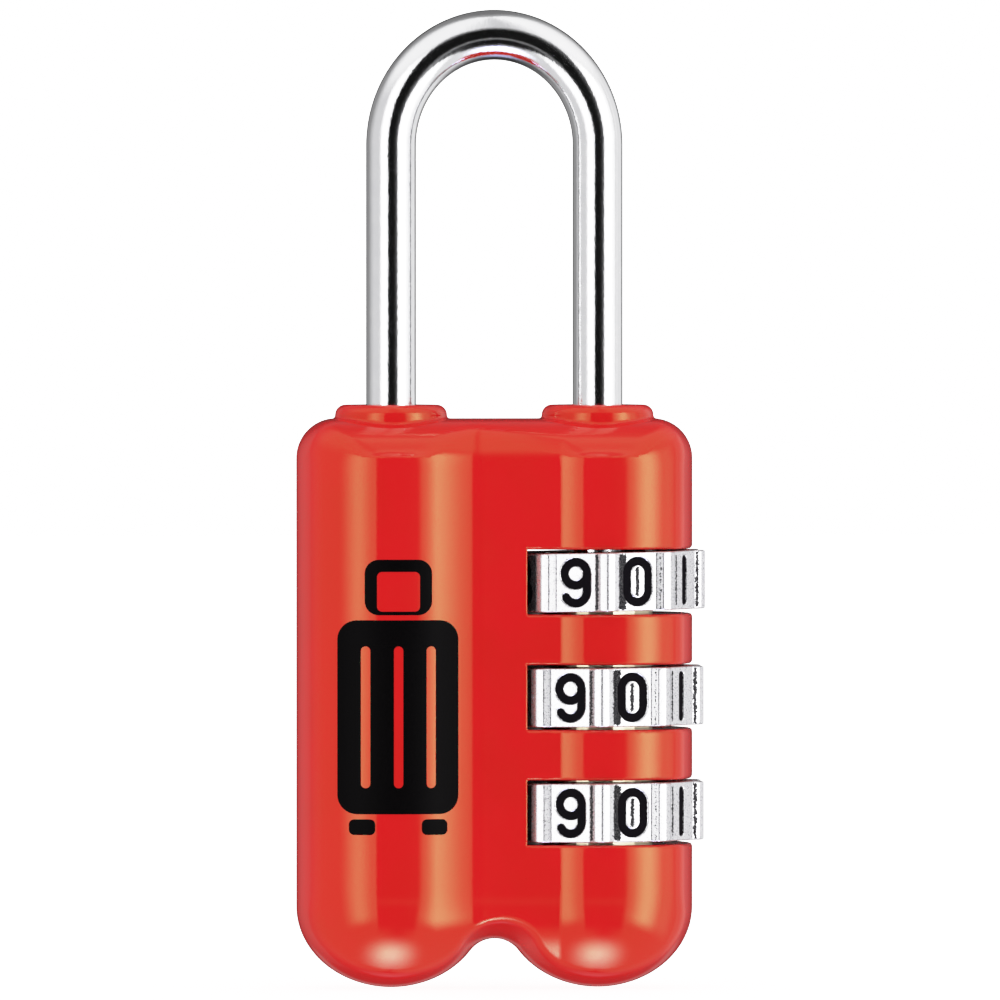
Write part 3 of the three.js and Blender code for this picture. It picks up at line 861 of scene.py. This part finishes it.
def print_ink():
    """Black pad-printing ink, a little duller than the enamel."""
    material, nodes = new_material("black_ink")
    mottle = nodes.noise(6, 3)
    colour = nodes.blend(mottle, (0.0012, 0.001, 0.0012, 1), (0.0026, 0.0022, 0.0024, 1))
    nodes.finish({
        "Base Color": colour, "Roughness": nodes.between(mottle, 0.35, 0.5), "IOR": 1.08,
        "Normal": nodes.bump(nodes.noise(12, 2), 0.0015),
    })
    return material


def bright_wire():
    """Nickel-plated drawn steel, with the fine grain of the wire under the plating."""
    material, nodes = new_material("nickel_wire")
    grain = nodes.noise(5, 3, stretch=(1, 1, 0.55))
    fine = nodes.noise(16, 2, offset=4.2)
    normal = nodes.bump(grain, 0.006)
    normal = nodes.bump(fine, 0.0024, normal=normal)
    tint = nodes.blend(nodes.noise(1.2, 3, offset=2.0), (0.70, 0.70, 0.72, 1), (0.78, 0.78, 0.79, 1))
    nodes.finish({
        "Base Color": tint, "Metallic": 1.0, "Normal": normal,
        "Roughness": nodes.between(fine, 0.07, 0.13),
    })
    return material


def dial_chrome():
    """Chrome on cast zinc, with black paint in the digits and left in the corners, and a black band of
    painted shade on digit 8's flat.
    """
    material, nodes = new_material("dial_chrome")
    ragged = nodes.noise(9, 3)
    fine = nodes.noise(28, 2, offset=5.0)
    wander = nodes.math("MULTIPLY", nodes.math("SUBTRACT", ragged, 0.5), 0.09)
    digit = nodes.step(nodes.math("ADD", nodes.attribute("digit"), wander), 0.015, -0.02)
    spread = nodes.math("MULTIPLY", nodes.math("SUBTRACT", ragged, 0.5), 0.32)
    # Black paint left beside the ribs, and painted shade over digit 8's flat.
    residue_and_shade = nodes.step(nodes.math("ADD", nodes.attribute("residue_and_shade"), spread), 0.02, -0.03)
    thin = nodes.math("MULTIPLY", residue_and_shade, nodes.between(nodes.step(fine, 0.45, 0.65), 1.0, 0.8))
    paint = nodes.math("MAXIMUM", digit, thin)
    metal = nodes.blend(nodes.noise(2.5, 3, offset=9.0), (0.62, 0.615, 0.64, 1), (0.74, 0.735, 0.755, 1))
    worn = nodes.step(nodes.noise(11, 4, offset=11.0), 0.52, 0.7)
    metal = nodes.blend(nodes.math("MULTIPLY", worn, 0.7), metal, (0.16, 0.16, 0.175, 1))
    colour = nodes.blend(paint, metal, (0.006, 0.005, 0.007, 1))
    normal = nodes.bump(nodes.noise(14, 3, offset=2.2), 0.003)
    bare = nodes.between(nodes.noise(6, 2, offset=6.0), 0.22, 0.36)
    roughness = nodes.math("ADD", bare, nodes.math("MULTIPLY", paint, 0.3))
    nodes.finish({
        "Base Color": colour, "Metallic": nodes.between(paint, 0.85, 0.0),
        "Roughness": roughness, "Normal": normal, "IOR": 1.08,
    })
    return material


def plain_metal(name, dark, light, roughness, per_mm=8, stretch=(1, 1, 1)):
    """A metal with fine marks, for the pieces inside."""
    material, nodes = new_material(name)
    marks = nodes.noise(per_mm, 3, stretch=stretch)
    nodes.finish({
        "Base Color": nodes.blend(marks, dark, light), "Metallic": 1.0,
        "Roughness": nodes.between(marks, roughness, roughness + 0.12),
        "Normal": nodes.bump(marks, 0.003),
    })
    return material


def dress(made, material):
    made.data.materials.clear()
    made.data.materials.append(material)


# ---------------------------------------------------------------- assembly

def place(made, body, slot, *nodes):
    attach(made, body)
    if nodes:
        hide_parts(*nodes)


def build_padlock():
    red = enamel()
    body = build_body()
    dress(body, red)
    place(body, "housing", "enamel", "body_casting", "bottom_plug", "channel_plug")
    mark = build_print()
    dress(mark, print_ink())
    place(mark, "housing", "enamel")

    shackle = build_shackle()
    dress(shackle, bright_wire())
    place(shackle, "shackle", "shackle_steel", "shackle")

    chrome = dial_chrome()
    for row in range(3):
        made = build_dial(row)
        dress(made, chrome)
        place(made, f"dial_{row + 1}", "dial_chrome", f"dial_{row + 1}")

    spring_steel = plain_metal("spring_steel", (0.22, 0.22, 0.24, 1), (0.36, 0.36, 0.38, 1), 0.28)
    washer_bottom = box_mm("thrust_washer")[0][2]
    place_coil("lift", LIFT_COIL, LONG_LEG_END, spring_steel)
    place_coil("clutch", CLUTCH_COIL, washer_bottom, spring_steel)
    dress_inner_pieces(spring_steel)


def place_coil(name, size, top, material):
    """A spring on the bottom plug, reaching up to another piece."""
    coil = build_coil(f"{name}_coil", size, PLUG_TOP, top)
    dress(coil, material)
    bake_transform(coil)
    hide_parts(f"{name}_spring")


def dress_inner_pieces(spring_steel):
    """Better materials on the CAD pieces that stay."""
    brass = plain_metal(
        "turned_brass", (0.78, 0.68, 0.46, 1), (0.90, 0.82, 0.62, 1), 0.25, 6, (0.2, 0.2, 3),
    )
    washer_steel = plain_metal("washer_steel", (0.40, 0.40, 0.41, 1), (0.52, 0.52, 0.53, 1), 0.3)
    for row in (1, 2, 3):
        dress(frame["nodes"][f"clutch_sleeve_{row}"], brass)
    dress(frame["nodes"]["thrust_washer"], washer_steel)
    dress(frame["nodes"]["detent_spring"], spring_steel)


# ---------------------------------------------------------------- studio

CAMERA_DISTANCE = 1200.0
CAMERA_ELEVATION = 0.9
CAMERA_AZIMUTH = -3.2               # from the front towards +X
CAMERA_LENS = 744.5
AIM = (0.33, 0.0, 28.26)
GLOW = 1.0                          # the even light on the matt side of a surface
FILM_KNEE = 0.7                     # brighter light than this is rolled off
FILM_ROLL = 0.42                    # how slowly, in the same units
FILM_WHITE = 2.2                    # this much light is pure white
FLOOR_GLOW = 1.4
FLOOR_DROP = 0.05


def floor_material():
    material, nodes = new_material("pale_floor")
    tone = nodes.blend(nodes.noise(0.02, 2), (0.90, 0.90, 0.90, 1), (0.93, 0.93, 0.93, 1))
    nodes.finish({
        "Base Color": tone, "Roughness": 0.8,
        "Emission Color": (1, 1, 1, 1), "Emission Strength": FLOOR_GLOW,
    })
    return material


def build_floor():
    half, floor = 1500.0, -FLOOR_DROP
    corners = [(-half, -half, floor), (half, -half, floor), (half, half, floor), (-half, half, floor)]
    made = make_object("floor", corners, [(0, 1, 2, 3)], smooth=False)
    dress(made, floor_material())
    made.visible_glossy = False
    made.visible_diffuse = False


class Sky(Nodes):
    """A node tree whose values depend on the direction that light comes from."""

    def __init__(self, tree):
        super().__init__(tree)
        direction = self.add("ShaderNodeTexCoord").outputs["Generated"]
        self.x, self.y, self.z = self.add("ShaderNodeSeparateXYZ", {"Vector": direction}).outputs
        self.depth = self.math("ABSOLUTE", self.y)
        self.azimuth = self.math("ARCTAN2", self.x, self.depth)
        self.round_azimuth = self.math("ARCTAN2", self.x, self.math("MULTIPLY", self.y, -1.0))
        self.elevation = self.math("ARCSINE", self.z)
        self.front = self.between(self.step(self.y, 0.3, -0.1), 0.05, 1.0)

    def part(self, strength, *shares):
        result = strength
        for share in shares:
            result = self.math("MULTIPLY", share, result)
        return result

    def total(self, *values):
        result = values[0]
        for value in values[1:]:
            result = self.math("ADD", result, value)
        return result

    def ramp(self, value, low, high):
        """Rises from 0 to 1 between two angles in degrees, or falls if low is above high."""
        return self.step(value, math.radians(low), math.radians(high))

    def window(self, value, start, full, fade, end):
        """1 between full and fade, 0 outside start and end, in degrees."""
        return self.part(1.0, self.ramp(value, start, full), self.ramp(value, end, fade))

    def bell(self, value, middle, reach):
        return self.window(value, middle - reach, middle, middle, middle + reach)


def soft_boxes(sky):
    """Two tall soft lights, left and right, each brightest along a line."""
    across = sky.azimuth
    tall = sky.window(sky.elevation, -42, -30, 20, 30)
    left_light = sky.total(1.1, sky.part(3.0, sky.bell(across, -36, 16)))
    left = sky.part(1.0, sky.window(across, -58, -47, -18.0, -16.6), left_light)
    right_light = sky.total(1.2, sky.part(6.8, sky.bell(across, 51, 20)))
    right = sky.part(1.0, sky.window(across, 25, 33, 74, 90), right_light)
    haze = sky.part(0.1, sky.window(across, 10, 26, 27, 50))
    return sky.part(1.0, tall, sky.front, sky.total(left, right, haze))


def low_lamp(sky):
    """A lamp below the front."""
    sideways = sky.part(0.5, sky.x, sky.x)
    along = sky.math("POWER", sky.total(sky.part(0.925, sky.depth), sky.part(0.38, sky.z)), 2.0)
    from_lamp = sky.math("SQRT", sky.total(sideways, along))
    near_lamp = sky.step(from_lamp, 0.36, 0.0)
    return sky.part(15.0, sky.front, sky.step(sky.z, -0.2, -0.4), near_lamp, near_lamp)


def pale_surround(sky):
    """Pale walls and a ceiling, with a dark gap straight ahead that holds one faint low strip."""
    left_wall = sky.part(0.74, sky.ramp(sky.round_azimuth, -150, -85), sky.ramp(sky.round_azimuth, 10, -20))
    right_wall = sky.part(0.85, sky.ramp(sky.round_azimuth, 160, 105), sky.ramp(sky.round_azimuth, 5, 35))
    behind = sky.part(0.08, sky.ramp(sky.math("ABSOLUTE", sky.round_azimuth), 174, 150))
    walls = sky.total(0.04, behind, left_wall, right_wall)
    ceiling_share = sky.between(sky.step(sky.y, 0.5, -0.2), 0.3, 1.0)
    ceiling = sky.part(0.62, sky.ramp(sky.elevation, 20, 38), ceiling_share)
    gap = sky.window(sky.azimuth, -18.0, -16.6, 24, 32)
    dark = sky.part(1.0, gap, sky.window(sky.elevation, -52, -40, 20, 38), sky.step(sky.y, 0.1, -0.1))
    surround = sky.part(1.0, sky.math("SUBTRACT", 1.0, dark), sky.total(walls, ceiling))
    low_strip = sky.part(0.25, gap, sky.bell(sky.elevation, -18, 7))
    return sky.total(surround, low_strip)


def studio_light():
    """Soft lights, a lamp and pale walls.

    Polished surfaces mirror these. The matt side of every surface gets an even glow instead.
    """
    world = bpy.data.worlds.new("studio")
    bpy.context.scene.world = world
    world.use_nodes = True
    sky = Sky(world.node_tree)
    path = sky.add("ShaderNodeLightPath")
    for_matt = path.outputs["Is Diffuse Ray"]
    for_polished = sky.math("SUBTRACT", 1.0, for_matt)
    mirrored = sky.total(soft_boxes(sky), pale_surround(sky), 0.008)
    glow = sky.total(GLOW, sky.part(0.06 * GLOW, sky.z))
    strength = sky.total(sky.part(1.0, mirrored, for_polished), sky.part(1.0, glow, for_matt))
    room = sky.add("ShaderNodeBackground", {"Color": (1, 1, 1, 1), "Strength": strength})
    spot = sky.add("ShaderNodeBackground", {
        "Color": (0.95, 0.95, 1.5, 1), "Strength": sky.part(1.0, low_lamp(sky), for_polished),
    })
    lit = sky.add("ShaderNodeAddShader", {0: room.outputs[0], 1: spot.outputs[0]})
    white = sky.add("ShaderNodeBackground", {"Color": (1, 1, 1, 1), "Strength": FILM_WHITE})
    mixed = sky.add("ShaderNodeMixShader", {
        0: path.outputs["Is Camera Ray"], 1: lit.outputs[0], 2: white.outputs[0],
    })
    output = sky.add("ShaderNodeOutputWorld")
    sky.put(output.inputs["Surface"], mixed.outputs[0])
    world.cycles.sampling_method = "NONE"


def film_curve():
    """Rolls the highlights off as film does: straight up to the knee, then ever flatter."""
    view = bpy.context.scene.view_settings
    view.view_transform = "Standard"
    view.use_curve_mapping = True
    mapping = view.curve_mapping
    mapping.white_level = (FILM_WHITE,) * 3
    curve = mapping.curves[3]
    shown = [(0.0, 0.0), (FILM_KNEE, FILM_KNEE)]
    for share in np.linspace(0, 1, 13)[1:]:
        light = FILM_KNEE + (FILM_WHITE - FILM_KNEE) * share ** 2
        shown.append((light, 1 - (1 - FILM_KNEE) * math.exp((FILM_KNEE - light) / FILM_ROLL)))
    shown[-1] = (FILM_WHITE, 1.0)
    for point, (light, level) in zip(curve.points, (shown[0], shown[-1])):
        point.location = (light / FILM_WHITE, level)
    for light, level in shown[1:-1]:
        curve.points.new(light / FILM_WHITE, level)
    for point in curve.points:
        point.handle_type = "VECTOR"
    mapping.update()


def build_camera():
    camera = bpy.data.cameras.new("camera")
    camera.lens = CAMERA_LENS
    camera.clip_end = 20
    made = add_object("camera", camera)
    tilt, turn = math.radians(CAMERA_ELEVATION), math.radians(CAMERA_AZIMUTH)
    level = math.cos(tilt)
    back = Vector((level * math.sin(turn), -level * math.cos(turn), math.sin(tilt)))
    made.location = Vector(in_frame(AIM)) + back * CAMERA_DISTANCE * MM
    made.rotation_mode = "QUATERNION"
    made.rotation_quaternion = (-back).to_track_quat("-Z", "Y")
    bpy.context.scene.camera = made


build_camera()
film_curve()
studio_light()
build_floor()
build_padlock()
